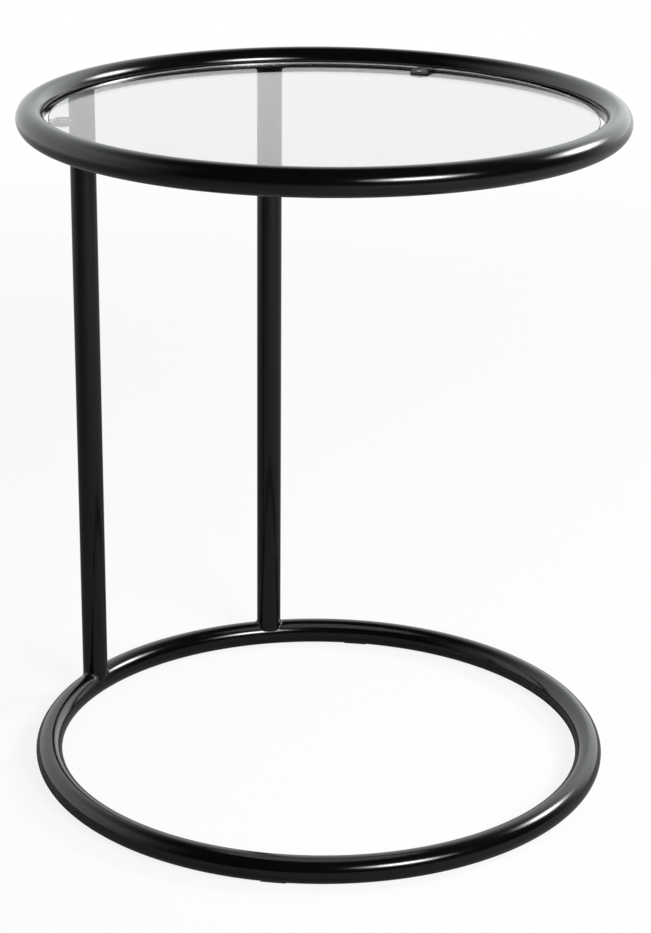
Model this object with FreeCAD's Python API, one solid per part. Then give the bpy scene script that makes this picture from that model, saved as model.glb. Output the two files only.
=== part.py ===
import FreeCAD, Part

import math
import os

from FreeCAD import Vector

# A C-shaped side table: a base ring and a top ring of round tube, two posts at the back that join them,
# and a round glass top held inside the top ring on three lugs with clear bumpers. The upper face of the
# glass is level with the middle of the top ring.
# Millimetres. The origin is on the floor under the middle of the base ring, +Z is up,
# and the posts stand at the +Y side, so that the free front of the top faces -Y.

# Driving dimensions
table_height = 515.0
ring_outer_dia = 440.0
tube_dia = 20.0
tube_wall = 1.5
post_dia = 20.0
post_wall = 1.5
post_spread_deg = 49.0
glass_thickness = 4.0
glass_edge_gap = 3.0

# Fits and the overrun of cuts
cut_overrun = 5.0
stem_clearance = 0.1

# Vent holes in the rings, inside the ends of the posts
vent_hole_dia = 8.0

# Ends of the posts: the tip of each saddle cut is ground blunt this far from the ring's middle plane
saddle_tip_height = 5.5

# Weld beads
post_bead_leg = 2.0
lug_bead_leg = 1.5

# Support lugs under the glass
lug_count = 3
lug_width = 15.0
lug_thickness = 2.5
lug_reach = 13.7
lug_edge_round = 0.5

# Clear bumpers on the lugs
bumper_head_dia = 13.5
bumper_head_height = 1.5
bumper_head_round = 0.6
bumper_stem_dia = 5.0
bumper_barb_dia = 6.6
bumper_barb_height = 1.5

# Glass edge
glass_arris = 0.6

# Foot pads under the base ring
pad_count = 4
pad_start_deg = 45.0
pad_length = 18.0
pad_wrap_deg = 28.0
pad_wall = 0.5
pad_flat_depth = 0.2

# Sizes that follow
tube_radius = tube_dia / 2
bore_radius = tube_radius - tube_wall
post_radius = post_dia / 2
ring_radius = ring_outer_dia / 2 - tube_radius
base_ring_z = pad_wall - pad_flat_depth + tube_radius
top_ring_z = table_height - tube_radius
ring_inner_radius = ring_radius - tube_radius
glass_radius = ring_inner_radius - glass_edge_gap
glass_bottom_z = top_ring_z - glass_thickness
lug_top_z = glass_bottom_z - bumper_head_height
lug_bottom_z = lug_top_z - lug_thickness
lug_centre_radius = ring_inner_radius - lug_reach
lug_hole_dia = bumper_stem_dia + 2 * stem_clearance

up = Vector(0, 0, 1)
post_azimuths = {
    "left": 90 + post_spread_deg / 2,
    "right": 90 - post_spread_deg / 2,
}
lug_azimuths = {
    "front": 270.0,
    "back_right": 270.0 + 360 / lug_count,
    "back_left": 270.0 - 360 / lug_count,
}


def on_circle(radius, azimuth, height):
    """Point on a circle round the table's upright axis."""
    angle = math.radians(azimuth)
    return Vector(radius * math.cos(angle), radius * math.sin(angle), height)


def turned(shape, azimuth):
    """Copy of a shape made at +X, turned round the table's upright axis."""
    copy = shape.copy()
    copy.rotate(Vector(0, 0, 0), up, azimuth)
    return copy


def ring_solid(radius, height):
    """Solid torus on the rings' centreline with the given section radius."""
    return Part.makeTorus(ring_radius, radius, Vector(0, 0, height), up)


def ring(height, vent_direction):
    """Closed hollow ring of tube, with a vent hole inside the end of each post."""
    shape = ring_solid(tube_radius, height).cut(ring_solid(bore_radius, height))
    for azimuth in post_azimuths.values():
        vent = Part.makeCylinder(
            vent_hole_dia / 2,
            tube_radius + cut_overrun,
            on_circle(ring_radius, azimuth, height),
            Vector(0, 0, vent_direction),
        )
        shape = shape.cut(vent)
    return shape


def post_blank(azimuth, radius, overrun):
    """Plain upright bar on a post's axis, from saddle tip to saddle tip and an overrun past both."""
    low = base_ring_z + saddle_tip_height - overrun
    high = top_ring_z - saddle_tip_height + overrun
    return Part.makeCylinder(radius, high - low, on_circle(ring_radius, azimuth, low), up)


def post(azimuth):
    """Upright tube whose two ends are saddle-cut to sit on the rings."""
    shape = post_blank(azimuth, post_radius, 0)
    shape = shape.cut(post_blank(azimuth, post_radius - post_wall, cut_overrun))
    for height in (base_ring_z, top_ring_z):
        shape = shape.cut(ring_solid(tube_radius, height))
    return shape


def post_bead(azimuth, height, direction):
    """Weld bead round one end of a post, in the corner between the post and the ring."""
    reach = tube_radius + 2 * post_bead_leg
    collar = Part.makeCylinder(
        post_radius + post_bead_leg,
        reach,
        on_circle(ring_radius, azimuth, height),
        Vector(0, 0, direction),
    )
    bead = collar.common(ring_solid(tube_radius + post_bead_leg, height))
    bead = bead.cut(ring_solid(tube_radius, height))
    return bead.cut(post_blank(azimuth, post_radius, 0))


def lug_bar(width, low, high):
    """Flat bar at +X from the lug's hole out to the tube's centreline."""
    return Part.makeBox(
        ring_radius - lug_centre_radius,
        width,
        high - low,
        Vector(lug_centre_radius, -width / 2, low),
    )


def lug_blank():
    """Lug at +X before it is cut to the ring: a flat bar with a round end."""
    end = Part.makeCylinder(lug_width / 2, lug_thickness, Vector(lug_centre_radius, 0, lug_bottom_z), up)
    blank = end.fuse(lug_bar(lug_width, lug_bottom_z, lug_top_z)).removeSplitter()
    return blank


def rounded_outline(shape, low, high, radius):
    """Round the horizontal edges of a flat piece that lie in its two broad faces."""
    edges = []
    for edge in shape.Edges:
        box = edge.BoundBox
        level = box.ZMax - box.ZMin < radius / 2
        at_face = min(abs(box.ZMin - low), abs(box.ZMin - high)) < radius / 2
        if level and at_face:
            edges.append(edge)
    return shape.makeFillet(radius, edges)


def lug():
    """Support lug at +X, with the hole for its bumper and its root cut to the ring."""
    shape = rounded_outline(lug_blank(), lug_bottom_z, lug_top_z, lug_edge_round)
    hole = Part.makeCylinder(
        lug_hole_dia / 2,
        lug_thickness + 2 * cut_overrun,
        Vector(lug_centre_radius, 0, lug_bottom_z - cut_overrun),
        up,
    )
    return shape.cut(hole).cut(ring_solid(tube_radius, top_ring_z))


def lug_bead():
    """Weld bead round the root of the lug at +X."""
    collar = lug_bar(lug_width + 2 * lug_bead_leg, lug_bottom_z - lug_bead_leg, lug_top_z + lug_bead_leg)
    bead = collar.common(ring_solid(tube_radius + lug_bead_leg, top_ring_z))
    return bead.cut(ring_solid(tube_radius, top_ring_z)).cut(lug_blank())


def bumper():
    """Clear bumper at +X: a soft round head on the lug, a stem through it and a barb under it."""
    head = Part.makeCylinder(
        bumper_head_dia / 2, bumper_head_height, Vector(lug_centre_radius, 0, lug_top_z), up
    )
    rim = [edge for edge in head.Edges if abs(edge.BoundBox.ZMin - glass_bottom_z) < bumper_head_round / 2]
    head = head.makeFillet(bumper_head_round, rim)
    stem = Part.makeCylinder(
        bumper_stem_dia / 2, lug_thickness, Vector(lug_centre_radius, 0, lug_bottom_z), up
    )
    barb = Part.makeCone(
        bumper_barb_dia / 2,
        bumper_stem_dia / 2,
        bumper_barb_height,
        Vector(lug_centre_radius, 0, lug_bottom_z),
        Vector(0, 0, -1),
    )
    return head.fuse([stem, barb])


def glass_disc():
    """Round glass top with a small arris on both edges."""
    disc = Part.makeCylinder(glass_radius, glass_thickness, Vector(0, 0, glass_bottom_z), up)
    rims = [edge for edge in disc.Edges if edge.BoundBox.ZLength < glass_arris]
    return disc.makeChamfer(glass_arris, rims)


def foot_pad():
    """Thin moulded pad at +X, wrapped round the underside of the base ring and flat on the floor."""
    pad_radius = tube_radius + pad_wall
    half_width = pad_radius * math.sin(math.radians(pad_wrap_deg))
    block = Part.makeBox(
        2 * half_width, pad_length, base_ring_z, Vector(ring_radius - half_width, -pad_length / 2, 0)
    )
    return block.common(ring_solid(pad_radius, base_ring_z)).cut(ring_solid(tube_radius, base_ring_z))


def build():
    """Every sub-part by its node's name."""
    parts = {
        "base_ring": ring(base_ring_z, 1),
        "top_ring": ring(top_ring_z, -1),
        "glass_top": glass_disc(),
    }
    for side, azimuth in post_azimuths.items():
        parts["post_" + side] = post(azimuth)
        parts["weld_base_" + side] = post_bead(azimuth, base_ring_z, 1)
        parts["weld_top_" + side] = post_bead(azimuth, top_ring_z, -1)
    lug_shape = lug()
    lug_bead_shape = lug_bead()
    bumper_shape = bumper()
    for place, azimuth in lug_azimuths.items():
        parts["support_lug_" + place] = turned(lug_shape, azimuth)
        parts["weld_lug_" + place] = turned(lug_bead_shape, azimuth)
        parts["bumper_" + place] = turned(bumper_shape, azimuth)
    pad_shape = foot_pad()
    for index in range(pad_count):
        azimuth = pad_start_deg + index * 360 / pad_count
        parts["foot_pad_" + str(index + 1)] = turned(pad_shape, azimuth)
    return parts


os.makedirs("parts", exist_ok=True)
for node, shape in build().items():
    shape.exportStep("parts/" + node + ".step")
    print(node, shape.isValid(), len(shape.Solids), round(shape.Volume, 1))
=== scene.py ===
"""Looks of a round side table: black tube frame, clear glass top, soft studio and camera.

Lengths are metres in the model's own frame: the origin is on the floor under the middle of the
base ring, +Z is up, and the posts stand at the +Y side.
"""

from __future__ import annotations

import logging
import math
from collections.abc import Mapping, Sequence
from dataclasses import dataclass, field
from enum import Enum
from typing import Any

import bpy
from mathutils import Matrix, Vector


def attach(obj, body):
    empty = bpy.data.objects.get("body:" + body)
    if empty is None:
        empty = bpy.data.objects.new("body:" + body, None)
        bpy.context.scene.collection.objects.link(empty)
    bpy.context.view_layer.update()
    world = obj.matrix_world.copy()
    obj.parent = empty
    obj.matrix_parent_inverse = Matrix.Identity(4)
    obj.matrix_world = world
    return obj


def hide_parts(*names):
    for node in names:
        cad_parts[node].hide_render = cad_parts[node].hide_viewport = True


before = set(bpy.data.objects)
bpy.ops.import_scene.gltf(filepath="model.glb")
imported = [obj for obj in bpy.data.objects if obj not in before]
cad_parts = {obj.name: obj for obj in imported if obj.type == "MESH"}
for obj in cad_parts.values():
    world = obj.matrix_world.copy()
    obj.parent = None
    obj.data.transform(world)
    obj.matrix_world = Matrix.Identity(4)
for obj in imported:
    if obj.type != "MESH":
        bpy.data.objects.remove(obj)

LOG = logging.getLogger("side_table")

Span = tuple[float, float]
Triple = tuple[float, float, float]
Colour = Triple

WHITE: Colour = (1.0, 1.0, 1.0)


class Body(Enum):
    """Bodies of the model that pieces ride on."""

    FRAME = "frame"
    GLASS = "glass"


class Slot(Enum):
    """Names of the record's material slots, which each new piece is listed with."""

    FRAME_PAINT = "frame_paint"
    LUG_PAINT = "lug_paint"
    TOP_GLASS = "top_glass"
    BUMPER_CLEAR = "bumper_clear"


class Sense(Enum):
    """Which way a post leaves a ring."""

    UP = 1
    DOWN = -1


# Node trees


@dataclass(frozen=True)
class Wire:
    """A socket of a node tree that takes part in arithmetic."""

    net: Net
    socket: bpy.types.NodeSocket

    def _math(
        self, operation: str, first: float | Wire, second: float | Wire = 0.0, clamp: bool = False
    ) -> Wire:
        """Result of one Math node on one or two values, kept between 0 and 1 if it is clamped."""
        settings = {"operation": operation, "use_clamp": clamp}
        return self.net.add("ShaderNodeMath", settings, {0: first, 1: second})

    def __add__(self, other: float | Wire) -> Wire:
        """Sum."""
        return self._math("ADD", self, other)

    def __radd__(self, other: float) -> Wire:
        """Sum with a number in front."""
        return self._math("ADD", other, self)

    def __sub__(self, other: float | Wire) -> Wire:
        """Difference."""
        return self._math("SUBTRACT", self, other)

    def __rsub__(self, other: float) -> Wire:
        """Difference with a number in front."""
        return self._math("SUBTRACT", other, self)

    def __mul__(self, other: float | Wire) -> Wire:
        """Product."""
        return self._math("MULTIPLY", self, other)

    def __rmul__(self, other: float) -> Wire:
        """Product with a number in front."""
        return self._math("MULTIPLY", other, self)

    def __truediv__(self, other: float | Wire) -> Wire:
        """Quotient."""
        return self._math("DIVIDE", self, other)

    def __rtruediv__(self, other: float) -> Wire:
        """Quotient with a number in front."""
        return self._math("DIVIDE", other, self)

    def root(self) -> Wire:
        """Square root."""
        return self._math("SQRT", self)

    def sine(self) -> Wire:
        """Sine of an angle in radians."""
        return self._math("SINE", self)

    def cosine(self) -> Wire:
        """Cosine of an angle in radians."""
        return self._math("COSINE", self)

    def size(self) -> Wire:
        """Value without its sign."""
        return self._math("ABSOLUTE", self)

    def at_least(self, other: float | Wire) -> Wire:
        """The larger of two values."""
        return self._math("MAXIMUM", self, other)

    def at_most(self, other: float | Wire) -> Wire:
        """The smaller of two values."""
        return self._math("MINIMUM", self, other)

    def above(self, other: float | Wire) -> Wire:
        """1 where this value is larger than the other one, else 0."""
        return self._math("GREATER_THAN", self, other)

    def clamped(self) -> Wire:
        """Value kept between 0 and 1."""
        return self._math("ADD", self, 0.0, clamp=True)

    def centred(self) -> Wire:
        """A noise's value about 0 instead of about its middle, one half."""
        return self - 0.5

    def between(self, low: float, high: float) -> Wire:
        """Smooth step.

        Args:
            low: Value at which the step starts.
            high: Value at which the step ends.

        Returns:
            0 below low, 1 above high and a smooth rise between them.
        """
        settings = {"interpolation_type": "SMOOTHSTEP", "clamp": True}
        step = {"Value": self, "From Min": low, "From Max": high, "To Min": 0.0, "To Max": 1.0}
        return self.net.add("ShaderNodeMapRange", settings, step)


def length(x: Wire, y: Wire) -> Wire:
    """Length of a line from its two sides at a right angle."""
    return (x * x + y * y).root()


@dataclass(frozen=True)
class Speckle:
    """How fine a noise is.

    Attributes:
        size: Length of one blotch, in metres.
        detail: Number of finer layers.
        rough: How much the finer layers count.
        squeeze: How many times shorter a blotch is along each axis.
    """

    size: float
    detail: float = 2.0
    rough: float = 0.5
    squeeze: Triple | None = None


class Net:
    """Adds nodes to one shader or geometry tree."""

    # The Mix node's colour sockets share their names with others, so they go by number
    MIX_FIRST = 6
    MIX_SECOND = 7
    MIX_RESULT = 2

    def __init__(self, tree: bpy.types.NodeTree) -> None:
        """Take an existing tree and empty it."""
        self.tree = tree
        self.tree.nodes.clear()

    def add(
        self,
        kind: str,
        settings: Mapping[str, Any] | None = None,
        inputs: Mapping[int | str, Any] | None = None,
        output: int | str = 0,
    ) -> Wire:
        """Add one node.

        Args:
            kind: The node's type.
            settings: Its properties, which are set first.
            inputs: Numbers, tuples or Wires for its sockets, by index or name.
            output: The output that is used.

        Returns:
            The chosen output, or the node's first input if it has no output.
        """
        node = self.tree.nodes.new(kind)
        for name, value in (settings or {}).items():
            setattr(node, name, value)
        for key, value in (inputs or {}).items():
            if isinstance(value, Wire):
                self.tree.links.new(value.socket, node.inputs[key])
            else:
                node.inputs[key].default_value = value
        return Wire(self, node.outputs[output] if node.outputs else node.inputs[0])

    def also(self, wire: Wire, output: int | str) -> Wire:
        """Another output of the node that a Wire comes from."""
        return Wire(self, wire.socket.node.outputs[output])

    def mix(self, share: Wire, first: Colour, second: Colour) -> Wire:
        """Blend of two colours by the share of the second one."""
        inputs = {0: share, self.MIX_FIRST: (*first, 1.0), self.MIX_SECOND: (*second, 1.0)}
        return self.add("ShaderNodeMix", {"data_type": "RGBA"}, inputs, self.MIX_RESULT)

    def place(self) -> Wire:
        """Point in the object's own coordinates, which are the model's."""
        return self.add("ShaderNodeTexCoord", output="Object")

    def noise(self, point: Wire, speckle: Speckle) -> Wire:
        """Noise between 0 and 1.

        Args:
            point: Where it is read.
            speckle: How fine it is.

        Returns:
            The noise value.
        """
        if speckle.squeeze is not None:
            factors = {0: point, 1: speckle.squeeze}
            point = self.add("ShaderNodeVectorMath", {"operation": "MULTIPLY"}, factors)
        fineness = {"Scale": 1.0 / speckle.size, "Detail": speckle.detail, "Roughness": speckle.rough}
        return self.add("ShaderNodeTexNoise", None, {"Vector": point, **fineness})

    def split(self, point: Wire) -> tuple[Wire, Wire, Wire]:
        """The three coordinates of a point."""
        x = self.add("ShaderNodeSeparateXYZ", None, {0: point})
        return x, self.also(x, 1), self.also(x, 2)

    def joined(self, x: float | Wire, y: float | Wire, z: Wire) -> Wire:
        """A point from three coordinates."""
        return self.add("ShaderNodeCombineXYZ", None, {0: x, 1: y, 2: z})

    def sight(self) -> tuple[Wire, Wire]:
        """How a ray comes to see the surroundings.

        Returns:
            1 for what the camera, clear glass or a clean mirror image sees, and 1 for what the
            semi-gloss paint mirrors; both are 0 for soft light.
        """
        path = self.add("ShaderNodeLightPath", output="Is Camera Ray")
        clean = self.also(path, "Is Singular Ray").at_least(self.also(path, "Is Transmission Ray"))
        straight = path.at_least(clean)
        return straight, self.also(path, "Is Glossy Ray") * (1.0 - straight)

    def bump(self, height: Wire, depth: float, normal: Wire | None = None) -> Wire:
        """Surface relief.

        Args:
            height: Height between 0 and 1.
            depth: Height of 1 in metres.
            normal: Relief below this one.

        Returns:
            The bent normal.
        """
        inputs: dict[int | str, Any] = {"Height": height, "Distance": depth}
        if normal is not None:
            inputs["Normal"] = normal
        return self.add("ShaderNodeBump", None, inputs)

    def principled(self, inputs: Mapping[int | str, Any]) -> Wire:
        """Shader of a solid surface or of clear stuff."""
        return self.add("ShaderNodeBsdfPrincipled", None, inputs)


class Finish:
    """Base of the finishes: one material each, made when it is first asked for."""

    label = "finish"

    def material(self) -> bpy.types.Material:
        """The finish's material.

        Returns:
            The material with the finish's label.
        """
        made = bpy.data.materials.get(self.label)
        if made is None:
            made = bpy.data.materials.new(self.label)
            made.use_nodes = True
            net = Net(made.node_tree)
            net.add("ShaderNodeOutputMaterial", None, {"Surface": self.surface(net)})
        return made

    def surface(self, net: Net) -> Wire:
        """The finish's shader."""
        raise NotImplementedError


@dataclass(frozen=True)
class BlackPaint(Finish):
    """Smooth black semi-gloss powder coat with orange peel, handling marks and fine dust.

    A "matt" is what a mark adds to the roughness, and a "tint" how much of the dust's colour it
    shows.

    Attributes:
        scuff_streaks: Strength of a streak at which a scuff starts and at which it is full.
        scuff_height: Height over the floor up to which scuffs are full and at which they are gone.
        dust_level: How far a face looks up where dust starts and where it is full.
        dust_patches: Strength of the handling marks where dust starts and where it is full.
    """

    label: str = "black powder coat"
    colour: Colour = (0.0022, 0.0022, 0.0024)
    dust_colour: Colour = (0.05, 0.048, 0.046)
    ior: float = 1.55
    roughness: float = 0.13
    peel: Speckle = Speckle(0.0022, 3.0, 0.55)
    peel_depth: float = 0.000012
    peel_matt: float = 0.03
    grain: Speckle = Speckle(0.0022 / 6, 1.0)
    grain_depth: float = 0.0000015
    handling: Speckle = Speckle(0.035, 4.0, 0.6)
    handling_matt: float = 0.05
    streaks: Speckle = Speckle(0.006, 3.0, 0.7, (1.0, 1.0, 14.0))
    scuff_streaks: Span = (0.60, 0.72)
    scuff_height: Span = (0.0048, 0.016)
    scuff_tint: float = 0.10
    scuff_matt: float = 0.14
    dust_level: Span = (0.55, 0.98)
    dust_patches: Span = (0.45, 0.80)
    dust_tint: float = 0.05
    dust_matt: float = 0.03

    def surface(self, net: Net) -> Wire:
        """Black coat of slightly uneven gloss, scuffed near the floor and dusty on top.

        Args:
            net: The material's tree.

        Returns:
            The shader.
        """
        point = net.place()
        peel, handling = net.noise(point, self.peel), net.noise(point, self.handling)
        near_floor = 1.0 - net.split(point)[2].between(*self.scuff_height)
        scuffs = net.noise(point, self.streaks).between(*self.scuff_streaks) * near_floor
        up = net.split(net.add("ShaderNodeNewGeometry", output="Normal"))[2]
        dust = up.between(*self.dust_level) * handling.between(*self.dust_patches)
        marks = dust * self.dust_tint + scuffs * self.scuff_tint
        uneven = self.roughness + handling.centred() * self.handling_matt + peel.centred() * self.peel_matt
        roughness = uneven + dust * self.dust_matt + scuffs * self.scuff_matt
        relief = net.bump(peel, self.peel_depth)
        return net.principled(
            {
                "Base Color": net.mix(marks, self.colour, self.dust_colour),
                "Roughness": roughness.clamped(),
                "IOR": self.ior,
                "Normal": net.bump(net.noise(point, self.grain), self.grain_depth, relief),
            }
        )


@dataclass(frozen=True)
class ClearGlass(Finish):
    """Faces of the clear tempered pane, with the faintest wiping marks."""

    label: str = "clear tempered glass"
    colour: Colour = (0.83, 0.85, 0.84)
    wiped: Colour = (0.80, 0.82, 0.81)
    ior: float = 1.52
    roughness: float = 0.0
    smears: Speckle = Speckle(0.09, 3.0, 0.6, (1.0, 2.5, 1.0))
    smeared: Span = (0.5, 0.9)

    def surface(self, net: Net) -> Wire:
        """Clear refracting glass.

        Args:
            net: The material's tree.

        Returns:
            The shader.
        """
        smear = net.noise(net.place(), self.smears).between(*self.smeared)
        return net.principled(
            {
                "Base Color": net.mix(smear, self.colour, self.wiped),
                "Roughness": self.roughness,
                "IOR": self.ior,
                "Transmission Weight": 1.0,
            }
        )


@dataclass(frozen=True)
class GlassEdge(Finish):
    """Polished edge of the pane, where the glass looks green."""

    label: str = "polished glass edge"
    colour: Colour = (0.95, 1.0, 0.98)
    ground: Colour = (0.82, 0.94, 0.90)
    ior: float = 1.52
    roughness: float = 0.0
    grind: Speckle = Speckle(0.0006, 2.0, 0.5, (1.0, 1.0, 6.0))
    grind_tint: float = 0.3
    grind_depth: float = 0.0000005

    def surface(self, net: Net) -> Wire:
        """Green edge with the faintest marks of its grinding.

        Args:
            net: The material's tree.

        Returns:
            The shader.
        """
        grind = net.noise(net.place(), self.grind)
        return net.principled(
            {
                "Base Color": net.mix(grind * self.grind_tint, self.colour, self.ground),
                "Roughness": self.roughness,
                "IOR": self.ior,
                "Transmission Weight": 1.0,
                "Normal": net.bump(grind, self.grind_depth),
            }
        )


@dataclass(frozen=True)
class ClearSilicone(Finish):
    """Soft clear silicone of the bumpers."""

    label: str = "clear silicone"
    colour: Colour = (0.97, 0.975, 0.97)
    cloudy: Colour = (0.85, 0.86, 0.85)
    ior: float = 1.41
    roughness: float = 0.03
    clearness: float = 0.9
    clouds: Speckle = Speckle(0.0012)
    cloud_tint: float = 0.3
    cloud_matt: float = 0.04
    cloud_depth: float = 0.00001

    def surface(self, net: Net) -> Wire:
        """Slightly cloudy clear rubber.

        Args:
            net: The material's tree.

        Returns:
            The shader.
        """
        cloud = net.noise(net.place(), self.clouds)
        return net.principled(
            {
                "Base Color": net.mix(cloud * self.cloud_tint, self.colour, self.cloudy),
                "Roughness": self.roughness + cloud * self.cloud_matt,
                "IOR": self.ior,
                "Transmission Weight": self.clearness,
                "Normal": net.bump(cloud, self.cloud_depth),
            }
        )


@dataclass(frozen=True)
class PadRubber(Finish):
    """Matt black rubber of the foot pads."""

    label: str = "matt pad rubber"
    colour: Colour = (0.022, 0.022, 0.022)
    worn: Colour = (0.06, 0.058, 0.055)
    roughness: float = 0.62
    grain: Speckle = Speckle(0.0004)
    grain_matt: float = 0.3
    grain_depth: float = 0.00004
    patches: Speckle = Speckle(0.004, 3.0)
    dusty_height: Span = (0.0, 0.002)

    def surface(self, net: Net) -> Wire:
        """Matt rubber, dusty where it meets the floor.

        Args:
            net: The material's tree.

        Returns:
            The shader.
        """
        point = net.place()
        grain = net.noise(point, self.grain)
        low = 1.0 - net.split(point)[2].between(*self.dusty_height)
        return net.principled(
            {
                "Base Color": net.mix(low * net.noise(point, self.patches), self.colour, self.worn),
                "Roughness": self.roughness + grain.centred() * self.grain_matt,
                "Normal": net.bump(grain, self.grain_depth),
            }
        )


@dataclass(frozen=True)
class Backdrop:
    """White wall of the studio, as the paint mirrors it; azimuth 0 is in front of the table, at -Y.

    Attributes:
        sides: Cosine of the angle from the wall's middle where the wall is gone and where it is full.
        top: Height of a direction of length 1 where the wall starts to fade and where it is gone.
        least_reach: Smallest level part that is divided by, for directions straight up or down.
    """

    azimuth_deg: float = 165.0
    brightness: float = 1.05
    colour: Colour = (0.965, 1.0, 1.0)
    sides: Span = (-0.35, 0.75)
    top: Span = (0.5, 0.9)
    least_reach: float = 0.001

    def facing(self, x: Wire, y: Wire) -> Wire:
        """How much of the wall stands in a level direction.

        Args:
            x: The direction's part along +X.
            y: Its part along +Y.

        Returns:
            Share of the wall, from 0 to 1.
        """
        azimuth = math.radians(self.azimuth_deg)
        towards = x * math.sin(azimuth) - y * math.cos(azimuth)
        return (towards / length(x, y).at_least(self.least_reach)).between(*self.sides)


@dataclass(frozen=True)
class WhiteFloor(Finish):
    """Pale floor under and behind the table; what looks straight at it sees it nearly white.

    Attributes:
        albedo: Colour that lights the table from below.
        pale: Colour that shows under the lift, so that a faint shadow is left.
        lift: Share of plain white near the table.
        even: Distances from the axis between which the lift rises to 1.
        glow: The wall that the floor's far part stands for in the paint's mirror image.
        glow_reach: Distances from the axis between which that glow rises.
    """

    label: str = "white sweep"
    albedo: Colour = (0.27, 0.27, 0.27)
    pale: Colour = (0.92, 0.92, 0.92)
    lift: float = 0.87
    even: Span = (0.9, 2.4)
    glow: Backdrop = field(default_factory=Backdrop)
    glow_reach: Span = (0.25, 4.0)

    def surface(self, net: Net) -> Wire:
        """Diffuse floor that is lifted to white for rays that see it as background.

        Args:
            net: The material's tree.

        Returns:
            The shader.
        """
        x, y, _ = net.split(net.place())
        reach = length(x, y)
        straight, mirrored = net.sight()
        lifted = self.lift + reach.between(*self.even) * (1.0 - self.lift)
        glow = mirrored * reach.between(*self.glow_reach) * self.glow.facing(x, y)
        matt = net.add("ShaderNodeBsdfDiffuse", None, {"Color": net.mix(straight, self.albedo, self.pale)})
        white = net.add("ShaderNodeEmission", None, {"Color": (*WHITE, 1.0), "Strength": 1.0})
        return net.add("ShaderNodeMixShader", None, {0: straight * lifted + glow, 1: matt, 2: white})


# Shapes


class Recipe:
    """A Geometry Nodes tree with named inputs that is run to give a plain mesh."""

    def __init__(self, label: str) -> None:
        """Start an empty tree.

        Args:
            label: The tree's name.
        """
        self.group = bpy.data.node_groups.new(label, "GeometryNodeTree")
        self.net = Net(self.group)
        self.group.interface.new_socket(name="Geometry", in_out="OUTPUT", socket_type="NodeSocketGeometry")
        self.sockets: dict[str, str] = {}
        self.source: bpy.types.Node = self.group.nodes.new("NodeGroupInput")

    def given(self, name: str, kind: str = "Float") -> Wire:
        """A named input of the tree.

        Args:
            name: The input's name.
            kind: Float, Int or Material.

        Returns:
            The input's value inside the tree.
        """
        item = self.group.interface.new_socket(name=name, in_out="INPUT", socket_type="NodeSocket" + kind)
        self.sockets[name] = item.identifier
        return Wire(self.net, next(out for out in self.source.outputs if out.identifier == item.identifier))

    def circle(self, steps: Wire, radius: Wire) -> Wire:
        """Level circle round the origin."""
        inputs = {"Resolution": steps, "Radius": radius}
        return self.net.add("GeometryNodeCurvePrimitiveCircle", {"mode": "RADIUS"}, inputs)

    def evened(self, curve: Wire, count: Wire) -> Wire:
        """Curve with evenly spaced points."""
        inputs = {"Curve": curve, "Count": count}
        return self.net.add("GeometryNodeResampleCurve", {"mode": "COUNT"}, inputs)

    def marked(self, curve: Wire, label: str) -> Wire:
        """Curve whose points keep how far along it they are, from 0 to 1.

        Args:
            curve: The curve.
            label: Name that mark() finds the value by.

        Returns:
            The curve with the value.
        """
        inputs = {"Geometry": curve, "Name": label, "Value": self.net.add("GeometryNodeSplineParameter")}
        settings = {"data_type": "FLOAT", "domain": "POINT"}
        return self.net.add("GeometryNodeStoreNamedAttribute", settings, inputs)

    def mark(self, label: str) -> Wire:
        """Value that marked() kept."""
        return self.net.add("GeometryNodeInputNamedAttribute", {"data_type": "FLOAT"}, {"Name": label})

    def swept(self, path: Wire, radius: Wire, steps: Wire, scale: Wire | None = None) -> Wire:
        """A round section swept along a path, with its ends closed.

        Args:
            path: The centreline.
            radius: Radius of the section.
            steps: Number of points round the section.
            scale: Factor on the section along the path.

        Returns:
            The tube's mesh.
        """
        section = self.circle(steps, radius)
        inputs: dict[int | str, Any] = {"Curve": path, "Profile Curve": section, "Fill Caps": True}
        if scale is not None:
            inputs["Scale"] = scale
        return self.net.add("GeometryNodeCurveToMesh", None, inputs)

    def close(self, mesh: Wire, rounded: bool | Wire = True) -> None:
        """End the tree in a real mesh with its material.

        Args:
            mesh: The shape.
            rounded: Which faces are shaded as parts of a curved surface.
        """
        shading = {"Geometry": mesh, "Shade Smooth": rounded}
        smooth = self.net.add("GeometryNodeSetShadeSmooth", None, shading)
        real = self.net.add("GeometryNodeRealizeInstances", None, {"Geometry": smooth})
        finish = {"Geometry": real, "Material": self.given("Material", "Material")}
        self.net.add("NodeGroupOutput", None, {0: self.net.add("GeometryNodeSetMaterial", None, finish)})

    def made(self, name: str, values: Mapping[str, Any]) -> bpy.types.Object:
        """Run the tree.

        Args:
            name: The new object's name.
            values: A value for each named input.

        Returns:
            An object at the origin with a plain mesh and no modifier.
        """
        piece = new_object(name, bpy.data.meshes.new(name))
        modifier = piece.modifiers.new("recipe", "NODES")
        modifier.node_group = self.group
        for key, value in values.items():
            modifier[self.sockets[key]] = value
        graph = bpy.context.evaluated_depsgraph_get()
        mesh = bpy.data.meshes.new_from_object(piece.evaluated_get(graph), depsgraph=graph)
        piece.modifiers.remove(modifier)
        piece.data = mesh
        mesh.name = name
        return piece


def new_object(name: str, data: bpy.types.ID) -> bpy.types.Object:
    """Link a new object to the scene.

    Args:
        name: The object's name.
        data: Its mesh, lamp or camera.

    Returns:
        The object, at the origin.
    """
    made = bpy.data.objects.new(name, data)
    bpy.context.scene.collection.objects.link(made)
    return made


def polar(radius: float, azimuth_deg: float, height: float = 0.0) -> Vector:
    """Point round the table's upright axis, by its azimuth from +X."""
    angle = math.radians(azimuth_deg)
    return Vector((radius * math.cos(angle), radius * math.sin(angle), height))


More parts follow.
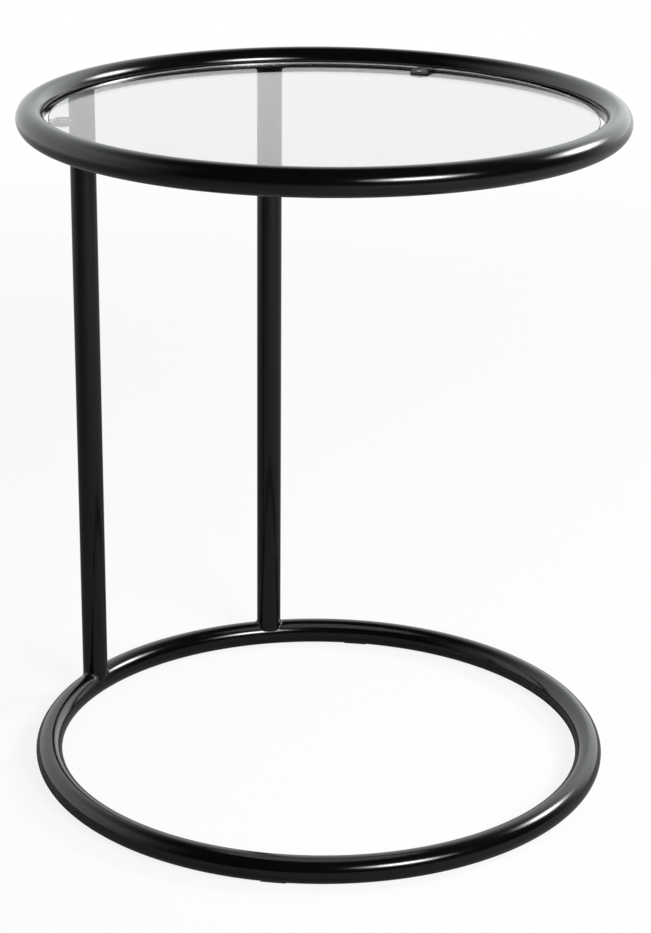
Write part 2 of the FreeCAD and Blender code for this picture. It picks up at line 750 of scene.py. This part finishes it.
def turned_mesh(name: str, profile: Sequence[Span], steps: int) -> bpy.types.Mesh:
    """Surface of revolution of a profile that starts and ends on the axis.

    Args:
        name: The mesh's name.
        profile: Radius and height of each point, from the lower pole to the upper one.
        steps: Number of points round the axis.

    Returns:
        The closed mesh, whose faces point outwards.
    """
    points = [(0.0, 0.0, profile[0][1])]
    rows: list[list[int]] = []
    for radius, height in profile[1:-1]:
        rows.append(list(range(len(points), len(points) + steps)))
        points += [tuple(polar(radius, 360.0 * (k + 0.5) / steps, height)) for k in range(steps)]
    points.append((0.0, 0.0, profile[-1][1]))
    faces: list[tuple[int, ...]] = []
    for k in range(steps):
        after = (k + 1) % steps
        faces.append((0, rows[0][after], rows[0][k]))
        for low, high in zip(rows, rows[1:]):
            faces.append((low[k], low[after], high[after], high[k]))
        faces.append((rows[-1][k], rows[-1][after], len(points) - 1))
    mesh = bpy.data.meshes.new(name)
    mesh.from_pydata(points, [], faces)
    return mesh


def rounded_corner(radius: float, height: float, bend: float, start_deg: float, steps: int) -> list[Span]:
    """Quarter turn that rounds a corner of a profile.

    Args:
        radius: Distance of the arc's middle from the axis.
        height: Height of the arc's middle.
        bend: Radius of the arc.
        start_deg: Angle of its first point from the outward direction.
        steps: Number of steps.

    Returns:
        Radius and height of each point.
    """
    corner = []
    for k in range(steps + 1):
        angle = math.radians(start_deg + 90.0 * k / steps)
        corner.append((radius + bend * math.cos(angle), height + bend * math.sin(angle)))
    return corner


def dress(node: bpy.types.Object, material: bpy.types.Material) -> None:
    """Give a carried-over node its material.

    Args:
        node: The node, whose own mesh is shown.
        material: The material for each of its slots.
    """
    for slot in node.material_slots:
        slot.material = material
    LOG.info("%s is dressed with %s", node.name, material.name)


@dataclass
class Part:
    """A finished piece and what it stands for."""

    piece: bpy.types.Object
    node: str
    body: Body
    slot: Slot

    def hand_over(self) -> None:
        """Let the piece ride on its body in place of its node."""
        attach(self.piece, self.body.value)
        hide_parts(self.node)
        LOG.info("%s stands for %s", self.piece.name, self.node)


# The table


@dataclass(frozen=True)
class TableSizes:
    """Driving dimensions that the sub-assemblies share."""

    tube_radius: float = 0.010
    ring_radius: float = 0.210
    base_ring_z: float = 0.0103
    top_ring_z: float = 0.505
    glass_thickness: float = 0.004
    glass_edge_gap: float = 0.003
    bumper_height: float = 0.0015
    lug_reach: float = 0.0137

    @property
    def rings(self) -> tuple[tuple[str, float, Sense], ...]:
        """Name and height of each ring, and which way the posts leave it."""
        return ("base", self.base_ring_z, Sense.UP), ("top", self.top_ring_z, Sense.DOWN)

    @property
    def hole_radius(self) -> float:
        """Radius of the hole in a ring."""
        return self.ring_radius - self.tube_radius

    @property
    def glass_radius(self) -> float:
        """Radius of the pane."""
        return self.hole_radius - self.glass_edge_gap

    @property
    def lug_top(self) -> float:
        """Height of the lugs' upper faces; the pane's own is level with the ring's middle."""
        return self.top_ring_z - self.glass_thickness - self.bumper_height

    @property
    def bumper_reach(self) -> float:
        """Distance of the bumpers' middles from the axis."""
        return self.hole_radius - self.lug_reach


@dataclass
class TubeFrame:
    """The two rings and the two posts, with their welds.

    Attributes:
        post_azimuths: Where the posts stand, from +X.
        post_wall_share: A face that looks sideways by more than this is wall, and else a flat end.
        weld_sunk: How far the middle of a weld's back is pulled under the two surfaces.
        weld_seen: Share of a weld's section that is its face, before the back.
        weld_cover: Height of a post's end over the saddle's tip, as a share of the weld's leg.
    """

    sizes: TableSizes
    post_azimuths: dict[str, float] = field(default_factory=lambda: {"left": 114.5, "right": 65.5})
    ring_steps: int = 360
    section_steps: int = 48
    post_rows: int = 24
    post_wall_share: float = 0.5
    saddle_tip: float = 0.0055
    weld_leg: float = 0.0020
    weld_sunk: float = 0.0030
    weld_seen: float = 0.75
    weld_cover: float = 0.55
    weld_steps: int = 288
    weld_section_steps: int = 20
    weld_ripples: int = 36
    weld_ripple_depth: float = 0.00030
    paint: BlackPaint = field(default_factory=BlackPaint)

    def ring_recipe(self) -> Recipe:
        """Closed ring of round tube.

        Returns:
            The tree that makes it.
        """
        recipe = Recipe("closed ring of tube")
        circle = recipe.circle(recipe.given("Ring Steps", "Int"), recipe.given("Ring Radius"))
        height = recipe.net.joined(0.0, 0.0, recipe.given("Height"))
        path = recipe.net.add("GeometryNodeSetPosition", None, {"Geometry": circle, "Offset": height})
        recipe.close(recipe.swept(path, recipe.given("Tube Radius"), recipe.given("Section Steps", "Int")))
        return recipe

    def post_recipe(self) -> Recipe:
        """Upright round tube between two heights, with flat ends.

        Returns:
            The tree that makes it.
        """
        recipe = Recipe("upright tube")
        net = recipe.net
        x, y = recipe.given("Post X"), recipe.given("Post Y")
        low = net.joined(x, y, recipe.given("Low End"))
        high = net.joined(x, y, recipe.given("High End"))
        path = net.add("GeometryNodeCurvePrimitiveLine", {"mode": "POINTS"}, {"Start": low, "End": high})
        fine = recipe.evened(path, recipe.given("Rows", "Int"))
        tube = recipe.swept(fine, recipe.given("Tube Radius"), recipe.given("Section Steps", "Int"))
        upward = net.split(net.add("GeometryNodeInputNormal"))[2].size()
        recipe.close(tube, (1.0 - upward).above(self.post_wall_share))
        return recipe

    def weld_recipe(self) -> Recipe:
        """Smooth fillet weld in the corner between a post and a ring.

        The section goes from the post's wall to the ring's surface in a hollow curve and back
        under both surfaces. Its corner follows the line in which the two tubes meet: the height
        over the ring's middle at which the ring's tube is as far out as the post's wall, or the
        height of the saddle's blunt tip.

        Returns:
            The tree that makes it.
        """
        recipe = Recipe("fillet round a post")
        net = recipe.net
        wall, leg = recipe.given("Post Radius"), recipe.given("Leg")
        round_post = recipe.marked(recipe.circle(recipe.given("Steps", "Int"), wall), "round")
        section = recipe.marked(recipe.circle(recipe.given("Section Steps", "Int"), leg), "across")
        band = net.add("GeometryNodeCurveToMesh", None, {"Curve": round_post, "Profile Curve": section})

        angle = recipe.mark("round") * math.tau
        east, north = angle.cosine(), angle.sine()
        across = recipe.mark("across")
        share = (across / self.weld_seen).at_most((1.0 - across) / (1.0 - self.weld_seen))
        hidden = across.above(self.weld_seen)
        post_x, post_y = recipe.given("Post X"), recipe.given("Post Y")
        ring, tube = recipe.given("Ring Radius"), recipe.given("Tube Radius")

        # The corner, where the post's wall meets the ring
        corner_x, corner_y = post_x + wall * east, post_y + wall * north
        aside = length(corner_x, corner_y) - ring
        rise = (tube * tube - aside * aside).at_least(0.0).root().at_least(recipe.given("Tip"))

        # The toe, pulled on to the ring's surface
        toe_x, toe_y = post_x + (wall + leg) * east, post_y + (wall + leg) * north
        toe_out = length(toe_x, toe_y)
        toe_aside = toe_out - ring
        pull = tube / length(toe_aside, rise)
        toe_scale = (ring + toe_aside * pull) / toe_out

        # The middle, which holds the ripples outside and lies under the surfaces inside
        ripple = (angle * recipe.given("Ripples") / 2.0).sine().size() * recipe.given("Ripple Depth")
        bulge = ripple * (1.0 - hidden) - hidden * recipe.given("Sunk")
        middle_x, middle_y = post_x + (wall + bulge) * east, post_y + (wall + bulge) * north

        # A curve from the corner to the toe that the middle bends
        rest = 1.0 - share
        near, mid, far = rest * rest, share * rest * 2.0, share * share
        x = near * corner_x + mid * middle_x + far * toe_x * toe_scale
        y = near * corner_y + mid * middle_y + far * toe_y * toe_scale
        z = near * (rise + leg) + mid * (rise + bulge) + far * rise * pull
        sense = recipe.given("Sense")
        point = net.joined(x, y, recipe.given("Ring Height") + z * sense)
        placed = net.add("GeometryNodeSetPosition", None, {"Geometry": band, "Position": point})
        mirrored = (0.0 - sense).above(0.0)
        recipe.close(net.add("GeometryNodeFlipFaces", None, {"Mesh": placed, "Selection": mirrored}))
        return recipe

    def ring_values(self, height: float) -> dict[str, Any]:
        """Inputs of the ring's tree.

        Args:
            height: Height of the ring's middle.

        Returns:
            A value for each input apart from the material.
        """
        return {
            "Ring Steps": self.ring_steps,
            "Ring Radius": self.sizes.ring_radius,
            "Height": height,
            "Tube Radius": self.sizes.tube_radius,
            "Section Steps": self.section_steps,
        }

    def post_values(self, foot: Vector) -> dict[str, Any]:
        """Inputs of the post's tree; each end lies inside its weld.

        Args:
            foot: Point on the floor under the post.

        Returns:
            A value for each input apart from the material.
        """
        end = self.saddle_tip + self.weld_cover * self.weld_leg
        return {
            "Post X": foot.x,
            "Post Y": foot.y,
            "Low End": self.sizes.base_ring_z + end,
            "High End": self.sizes.top_ring_z - end,
            "Rows": self.post_rows,
            "Tube Radius": self.sizes.tube_radius,
            "Section Steps": self.section_steps,
        }

    def weld_values(self, foot: Vector, height: float, sense: Sense) -> dict[str, Any]:
        """Inputs of the weld's tree.

        Args:
            foot: Point on the floor under the post.
            height: Height of the ring's middle.
            sense: Which way the post leaves the ring.

        Returns:
            A value for each input apart from the material.
        """
        return {
            "Steps": self.weld_steps,
            "Post Radius": self.sizes.tube_radius,
            "Leg": self.weld_leg,
            "Section Steps": self.weld_section_steps,
            "Post X": foot.x,
            "Post Y": foot.y,
            "Ring Radius": self.sizes.ring_radius,
            "Tube Radius": self.sizes.tube_radius,
            "Tip": self.saddle_tip,
            "Ripples": float(self.weld_ripples),
            "Ripple Depth": self.weld_ripple_depth,
            "Sunk": self.weld_sunk,
            "Ring Height": height,
            "Sense": float(sense.value),
        }

    def painted(self, recipe: Recipe, node: str, values: Mapping[str, Any]) -> Part:
        """Run a tree for a node and paint what it makes."""
        piece = recipe.made("painted_" + node, {**values, "Material": self.paint.material()})
        return Part(piece, node, Body.FRAME, Slot.FRAME_PAINT)

    def make(self) -> list[Part]:
        """Build the rings, posts and welds.

        Returns:
            The pieces.
        """
        ring, post, weld = self.ring_recipe(), self.post_recipe(), self.weld_recipe()
        parts = [
            self.painted(ring, name + "_ring", self.ring_values(height))
            for name, height, _ in self.sizes.rings
        ]
        for side, azimuth in self.post_azimuths.items():
            foot = polar(self.sizes.ring_radius, azimuth)
            parts.append(self.painted(post, "post_" + side, self.post_values(foot)))
            for name, height, sense in self.sizes.rings:
                values = self.weld_values(foot, height, sense)
                parts.append(self.painted(weld, f"weld_{name}_{side}", values))
        return parts


@dataclass
class GlassTop:
    """Round clear pane with a polished edge and small rounded arrises."""

    sizes: TableSizes
    arris: float = 0.0006
    arris_steps: int = 4
    steps: int = 360
    face_rows: int = 6
    glass: ClearGlass = field(default_factory=ClearGlass)
    edge: GlassEdge = field(default_factory=GlassEdge)

    def make(self) -> list[Part]:
        """Build the pane.

        Returns:
            The one piece.
        """
        top = self.sizes.top_ring_z
        bottom = top - self.sizes.glass_thickness
        flat = self.sizes.glass_radius - self.arris
        inner = [flat * k / self.face_rows for k in range(self.face_rows)]
        low = rounded_corner(flat, bottom + self.arris, self.arris, -90.0, self.arris_steps)
        high = rounded_corner(flat, top - self.arris, self.arris, 0.0, self.arris_steps)
        lower_face = [(radius, bottom) for radius in inner]
        upper_face = [(radius, top) for radius in reversed(inner)]
        mesh = turned_mesh("glass_pane", lower_face + low + high + upper_face, self.steps)
        for finish in (self.glass, self.edge):
            mesh.materials.append(finish.material())
        for face in mesh.polygons:
            on_edge = math.hypot(face.center.x, face.center.y) > flat
            face.material_index = int(on_edge)
            face.use_smooth = on_edge
        return [Part(new_object("glass_pane", mesh), "glass_top", Body.GLASS, Slot.TOP_GLASS)]


@dataclass
class LugSet:
    """Support lugs under the pane, their welds and their clear bumpers.

    Attributes:
        azimuths: Where the lugs stand, from +X.
        air_gap: Height of a bumper's head over its lug.
        wetting: How far its crown reaches into the pane, so that it looks pressed on to the glass.
        bead_offset: Distance of a bead's middle line from the lug's faces.
    """

    sizes: TableSizes
    azimuths: dict[str, float] = field(
        default_factory=lambda: {"front": 270.0, "back_right": 30.0, "back_left": 150.0}
    )
    lug_thickness: float = 0.0025
    lug_width: float = 0.015
    head_radius: float = 0.0072
    head_round: float = 0.0006
    head_round_steps: int = 6
    air_gap: float = 0.00008
    wetting: float = 0.00001
    stem_radius: float = 0.0025
    barb_radius: float = 0.0033
    barb_height: float = 0.0015
    bumper_steps: int = 64
    bumper_crease_deg: float = 35.0
    bead_radius: float = 0.0010
    bead_offset: float = 0.0002
    bead_corner: float = 0.0007
    bead_corner_steps: int = 6
    bead_steps: int = 160
    bead_section_steps: int = 12
    bead_ripples: int = 15
    bead_ripple_share: float = 0.15
    paint: BlackPaint = field(default_factory=lambda: BlackPaint(label="black powder coat on lugs"))
    silicone: ClearSilicone = field(default_factory=ClearSilicone)

    def bead_recipe(self) -> Recipe:
        """Rippled bead round the root of a lug, laid on the ring's inner flank.

        A rounded rectangle in the plane of width and height is bent on to the ring: each point
        takes the distance from the axis at which the tube's surface stands at its height.

        Returns:
            The tree that makes it.
        """
        recipe = Recipe("bead round a lug")
        net = recipe.net
        sides = {"Width": recipe.given("Width"), "Height": recipe.given("Height")}
        outline = net.add("GeometryNodeCurvePrimitiveQuadrilateral", {"mode": "RECTANGLE"}, sides)
        corner = {"Count": self.bead_corner_steps, "Radius": recipe.given("Corner"), "Limit Radius": True}
        soft = net.add("GeometryNodeFilletCurve", {"mode": "POLY"}, {"Curve": outline, **corner})
        fine = recipe.evened(soft, recipe.given("Steps", "Int"))

        across, up, _ = net.split(net.add("GeometryNodeInputPosition"))
        below = up + recipe.given("Drop")
        tube = recipe.given("Tube Radius")
        out = recipe.given("Ring Radius") - (tube * tube - below * below).at_least(0.0).root()
        ahead = (out * out - across * across).root()
        point = net.joined(ahead, across, below + recipe.given("Ring Height"))
        bent = net.add("GeometryNodeSetPosition", None, {"Geometry": fine, "Position": point})

        turn = net.add("GeometryNodeSplineParameter") * recipe.given("Ripples") * math.pi
        scale = 1.0 + turn.sine().size() * recipe.given("Ripple Share")
        bead = recipe.swept(bent, recipe.given("Bead Radius"), recipe.given("Section Steps", "Int"), scale)
        angle = net.joined(0.0, 0.0, recipe.given("Azimuth"))
        recipe.close(net.add("GeometryNodeTransform", None, {"Geometry": bead, "Rotation": angle}))
        return recipe

    def bead_values(self, azimuth: float, paint: bpy.types.Material) -> dict[str, Any]:
        """Inputs of the bead's tree.

        Args:
            azimuth: Where the lug stands, in degrees.
            paint: The bead's material.

        Returns:
            A value for each input.
        """
        grown = 2 * self.bead_offset
        return {
            "Width": self.lug_width + grown,
            "Height": self.lug_thickness + grown,
            "Corner": self.bead_corner,
            "Steps": self.bead_steps,
            "Drop": self.sizes.lug_top - self.lug_thickness / 2 - self.sizes.top_ring_z,
            "Tube Radius": self.sizes.tube_radius,
            "Ring Radius": self.sizes.ring_radius,
            "Ring Height": self.sizes.top_ring_z,
            "Ripples": float(self.bead_ripples),
            "Ripple Share": self.bead_ripple_share,
            "Bead Radius": self.bead_radius,
            "Section Steps": self.bead_section_steps,
            "Azimuth": math.radians(azimuth),
            "Material": paint,
        }

    def bumper(self, name: str, azimuth: float) -> bpy.types.Object:
        """One bumper: a round head on the lug, a stem through it and a barb under it.

        Args:
            name: The piece's name.
            azimuth: Where it stands, in degrees.

        Returns:
            The piece, with its place in its mesh.
        """
        lug_top = self.sizes.lug_top
        lug_bottom = lug_top - self.lug_thickness
        bend = self.head_round
        crown = lug_top + self.sizes.bumper_height + self.wetting
        profile = [(0.0, lug_bottom - self.barb_height)]
        profile += [(self.stem_radius, lug_bottom - self.barb_height), (self.barb_radius, lug_bottom)]
        profile += [(self.stem_radius, lug_bottom), (self.stem_radius, lug_top + self.air_gap)]
        profile += [(self.head_radius, lug_top + self.air_gap)]
        profile += rounded_corner(self.head_radius - bend, crown - bend, bend, 0.0, self.head_round_steps)
        profile += [(0.0, crown)]
        mesh = turned_mesh(name, profile, self.bumper_steps)
        mesh.transform(Matrix.Translation(polar(self.sizes.bumper_reach, azimuth)))
        mesh.polygons.foreach_set("use_smooth", [True] * len(mesh.polygons))
        mesh.set_sharp_from_angle(angle=math.radians(self.bumper_crease_deg))
        mesh.materials.append(self.silicone.material())
        return new_object(name, mesh)

    def make(self) -> list[Part]:
        """Dress the lugs, and build their welds and bumpers.

        Returns:
            The welds and bumpers.
        """
        paint = self.paint.material()
        parts: list[Part] = []
        bead = self.bead_recipe()
        for place, azimuth in self.azimuths.items():
            dress(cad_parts["support_lug_" + place], paint)
            node = "weld_lug_" + place
            weld = bead.made("painted_" + node, self.bead_values(azimuth, paint))
            parts.append(Part(weld, node, Body.FRAME, Slot.LUG_PAINT))
            bumper = self.bumper("clear_bumper_" + place, azimuth)
            parts.append(Part(bumper, "bumper_" + place, Body.FRAME, Slot.BUMPER_CLEAR))
        return parts


@dataclass
class FootPads:
    """Thin moulded pads under the base ring."""

    count: int = 4
    rubber: PadRubber = field(default_factory=PadRubber)

    def make(self) -> list[Part]:
        """Dress the pads.

        Returns:
            No piece, because the nodes themselves are shown.
        """
        for index in range(self.count):
            dress(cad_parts[f"foot_pad_{index + 1}"], self.rubber.material())
        return []


# Studio


def direction(azimuth_deg: float, elevation_deg: float) -> Vector:
    """Direction away from the table.

    Args:
        azimuth_deg: 0 is in front of the table, at -Y, and 90 at +X.
        elevation_deg: Angle over the level.

    Returns:
        A vector of length 1.
    """
    azimuth, elevation = math.radians(azimuth_deg), math.radians(elevation_deg)
    level = math.cos(elevation)
    return Vector((math.sin(azimuth) * level, -math.cos(azimuth) * level, math.sin(elevation)))


@dataclass(frozen=True)
class Softbox:
    """A soft lamp that faces the table: three ovals, each smaller and brighter than the last.

    The widths and heights are angles, as the table sees the ovals. The ovals stand at
    distances of their own, because of two at one distance a mirror shows only one.
    """

    label: str
    azimuth_deg: float
    elevation_deg: float
    widths_deg: Triple
    heights_deg: Triple
    brightness: Triple = (3.0, 8.0, 20.0)
    distances: Triple = (2.20, 2.22, 2.24)
    endings: tuple[str, str, str] = (" rim", "", " middle")
    aim: Triple = (0.0, 0.0, 0.26)

    def make(self) -> None:
        """Set up the ovals, from the rim to the middle."""
        away = direction(self.azimuth_deg, self.elevation_deg)
        for k, ending in enumerate(self.endings):
            lamp = bpy.data.lights.new(self.label + ending, "AREA")
            lamp.shape = "ELLIPSE"
            lamp.size = 2 * self.distances[k] * math.tan(math.radians(self.widths_deg[k] / 2))
            lamp.size_y = 2 * self.distances[k] * math.tan(math.radians(self.heights_deg[k] / 2))
            lamp.energy = self.brightness[k] * math.pi * (math.pi / 4 * lamp.size * lamp.size_y)
            made = new_object(self.label + ending, lamp)
            made.location = Vector(self.aim) + away * self.distances[k]
            made.rotation_euler = away.to_track_quat("Z", "Y").to_euler()


@dataclass(frozen=True)
class Panel:
    """Pale round panel beside the table, as the paint mirrors it."""

    azimuth_deg: float = 112.0
    elevation_deg: float = 16.0
    brightness: float = 0.7
    rim_deg: float = 30.0
    full_deg: float = 12.0

    def facing(self, x: Wire, y: Wire, z: Wire) -> Wire:
        """How much of the panel stands in a direction.

        Args:
            x: The direction's part along +X.
            y: Its part along +Y.
            z: Its part along +Z.

        Returns:
            Share of the panel, from 0 at its rim to 1 in its full part.
        """
        east, north, up = direction(self.azimuth_deg, self.elevation_deg)
        rim, full = math.cos(math.radians(self.rim_deg)), math.cos(math.radians(self.full_deg))
        return (x * east + y * north + z * up).between(rim, full)


@dataclass(frozen=True)
class Viewpoint:
    """Camera at the photograph's viewing angle, fitted to the outlines of the rings and posts."""

    label: str = "view of the table"
    place: Triple = (-1.0537, -1.4196, 0.8764)
    tilt_deg: float = 70.102
    roll_deg: float = 0.553
    heading_deg: float = -36.687
    focal_pixels: float = 2497.2
    long_side_pixels: float = 933.0
    sensor_mm: float = 36.0
    clip: Span = (0.01, 100.0)

    def make(self) -> bpy.types.Object:
        """Set up the camera.

        Returns:
            The camera's object.
        """
        data = bpy.data.cameras.new(self.label)
        data.sensor_width = self.sensor_mm
        data.lens = self.focal_pixels / self.long_side_pixels * self.sensor_mm
        data.clip_start, data.clip_end = self.clip
        made = new_object(self.label, data)
        made.location = self.place
        turn = Matrix.Rotation(math.radians(self.heading_deg), 3, "Z")
        lean = Matrix.Rotation(math.radians(self.tilt_deg), 3, "X")
        roll = Matrix.Rotation(math.radians(self.roll_deg), 3, "Z")
        made.rotation_euler = (turn @ lean @ roll).to_euler()
        return made


@dataclass
class Studio:
    """Floor, surroundings, lamps and camera.

    Attributes:
        fill: Level of the soft light from all round.
        dark: Level that the paint mirrors where neither the wall nor the panel stands.
    """

    floor_half: float = 12.0
    floor_finish: WhiteFloor = field(default_factory=WhiteFloor)
    boxes: tuple[Softbox, ...] = (
        Softbox(
            label="front softbox",
            azimuth_deg=-3.0,
            elevation_deg=27.0,
            widths_deg=(38.0, 27.0, 18.0),
            heights_deg=(22.0, 16.0, 11.0),
        ),
        Softbox(
            label="right softbox",
            azimuth_deg=77.0,
            elevation_deg=32.0,
            widths_deg=(32.0, 23.0, 14.0),
            heights_deg=(22.0, 15.0, 9.0),
        ),
    )
    wall: Backdrop = field(default_factory=Backdrop)
    panel: Panel = field(default_factory=Panel)
    fill: float = 0.25
    dark: float = 0.015
    view: Viewpoint = field(default_factory=Viewpoint)

    def make_floor(self) -> None:
        """Lay the floor."""
        half = self.floor_half
        square = [(-half, -half, 0.0), (half, -half, 0.0), (half, half, 0.0), (-half, half, 0.0)]
        mesh = bpy.data.meshes.new("floor")
        mesh.from_pydata(square, [], [(0, 1, 2, 3)])
        mesh.materials.append(self.floor_finish.material())
        new_object("floor", mesh)

    def make_world(self) -> None:
        """Surroundings: white behind the table and dark above and in front, plus a soft fill.

        What looks straight past the table, or through its glass, sees plain white.
        """
        world = bpy.data.worlds.new("studio")
        bpy.context.scene.world = world
        world.use_nodes = True
        net = Net(world.node_tree)
        x, y, z = net.split(net.add("ShaderNodeTexCoord", output="Generated"))
        wall = self.wall.facing(x, y) * (1.0 - z.between(*self.wall.top))
        panel = self.panel.facing(x, y, z)
        lit = wall * (self.wall.brightness - self.dark) + panel * self.panel.brightness
        seen, mirrored = net.sight()
        shade = seen + mirrored * (self.dark + lit) + (1.0 - seen - mirrored) * self.fill
        colour = net.mix(mirrored, WHITE, self.wall.colour)
        back = net.add("ShaderNodeBackground", None, {"Color": colour, "Strength": shade})
        net.add("ShaderNodeOutputWorld", None, {"Surface": back})

    def make(self) -> None:
        """Set up everything round the table."""
        self.make_floor()
        self.make_world()
        for box in self.boxes:
            box.make()
        bpy.context.scene.camera = self.view.make()
        bpy.context.scene.view_settings.view_transform = "Standard"


def main() -> None:
    """Build the table and the studio round it."""
    logging.basicConfig(level=logging.INFO, format="%(name)s: %(message)s")
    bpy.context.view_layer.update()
    sizes = TableSizes()
    for assembly in (TubeFrame(sizes), GlassTop(sizes), LugSet(sizes), FootPads()):
        for part in assembly.make():
            part.hand_over()
    Studio().make()


if __name__ == "__main__":
    main()
